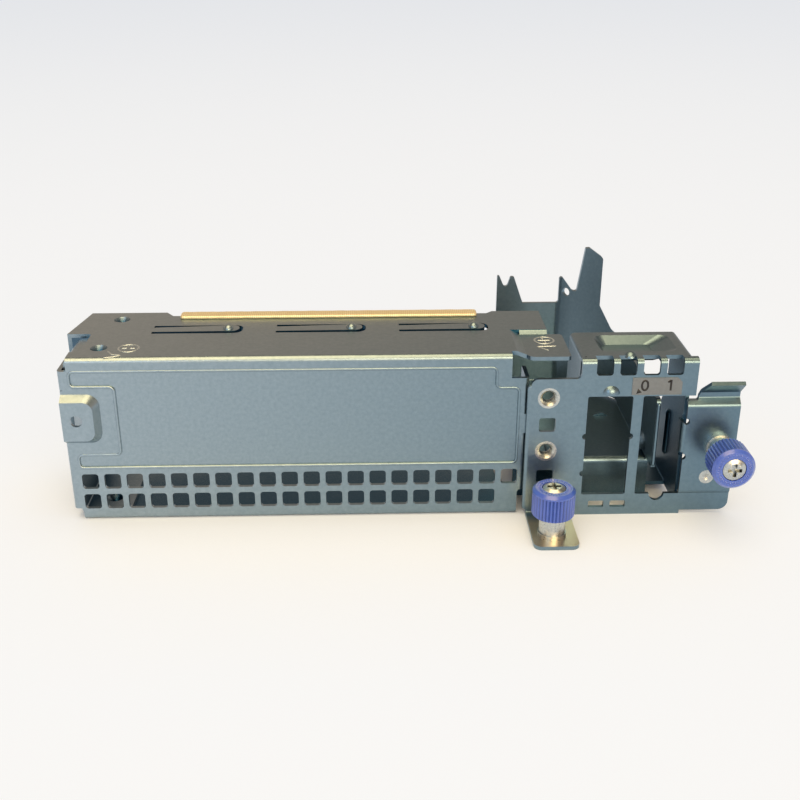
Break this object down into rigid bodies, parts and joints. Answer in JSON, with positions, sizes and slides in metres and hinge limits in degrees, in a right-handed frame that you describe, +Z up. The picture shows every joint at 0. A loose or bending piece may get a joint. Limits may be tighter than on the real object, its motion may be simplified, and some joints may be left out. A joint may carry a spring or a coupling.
{
  "type": "riser filler bracket",
  "caption": "Folded sheet-metal filler for a server riser bay: vented panel, two-window module cage, guide tray and spring-loaded captive thumbscrews.",
  "frame": {"origin": "foot screw's axis at the underside of the foot, level with the bracket's lower edges", "axes": "+X along the panel towards the cage and wing, +Y from the vented front to the back, +Z up"},
  "size_m": [0.1676, 0.081, 0.0539],
  "materials": {
    "zinc_sheet": "zinc-coated sheet, satin",
    "plated_steel": "bright zinc plating",
    "spring_wire": "bare spring wire",
    "knob_plastic": "violet-blue moulded plastic",
    "gasket_cloth": "metallised cloth over foam",
    "label_film": "grey printed film"
  },
  "bodies": {
    "frame": {"blank_panel": "zinc_sheet", "end_bracket": "zinc_sheet", "cage_bracket": "zinc_sheet", "guide_tray": "zinc_sheet", "shield_gasket": "gasket_cloth", "slot_label": "label_film", "upper_clinch_nut": "plated_steel", "lower_clinch_nut": "plated_steel", "locating_pin": "plated_steel", "foot_ferrule": "plated_steel", "wing_ferrule": "plated_steel"},
    "foot_coil": {"foot_spring": "spring_wire"},
    "foot_thumbscrew": {"foot_knob": "knob_plastic", "foot_screw": "plated_steel"},
    "wing_coil": {"wing_spring": "spring_wire"},
    "wing_thumbscrew": {"wing_knob": "knob_plastic", "wing_screw": "plated_steel"}
  },
  "joints": [
    {"name": "foot_press", "type": "slide", "parent": "frame", "child": "foot_coil", "axis": [0, 0, 1], "range_m": [-0.0044, 0], "stiffness_N_per_m": 150, "springref_m": 0.008, "deforming": ["foot_spring"]},
    {"name": "foot_turn", "type": "hinge", "parent": "foot_coil", "child": "foot_thumbscrew", "pos_m": [0, 0, 0], "axis": [0, 0, 1], "continuous": true},
    {"name": "wing_press", "type": "slide", "parent": "frame", "child": "wing_coil", "axis": [0, -1, 0], "range_m": [-0.0044, 0], "stiffness_N_per_m": 150, "springref_m": 0.008, "deforming": ["wing_spring"]},
    {"name": "wing_turn", "type": "hinge", "parent": "wing_coil", "child": "wing_thumbscrew", "pos_m": [0.0424, 0.0118, 0.0192], "axis": [0, -1, 0], "continuous": true}
  ]
}
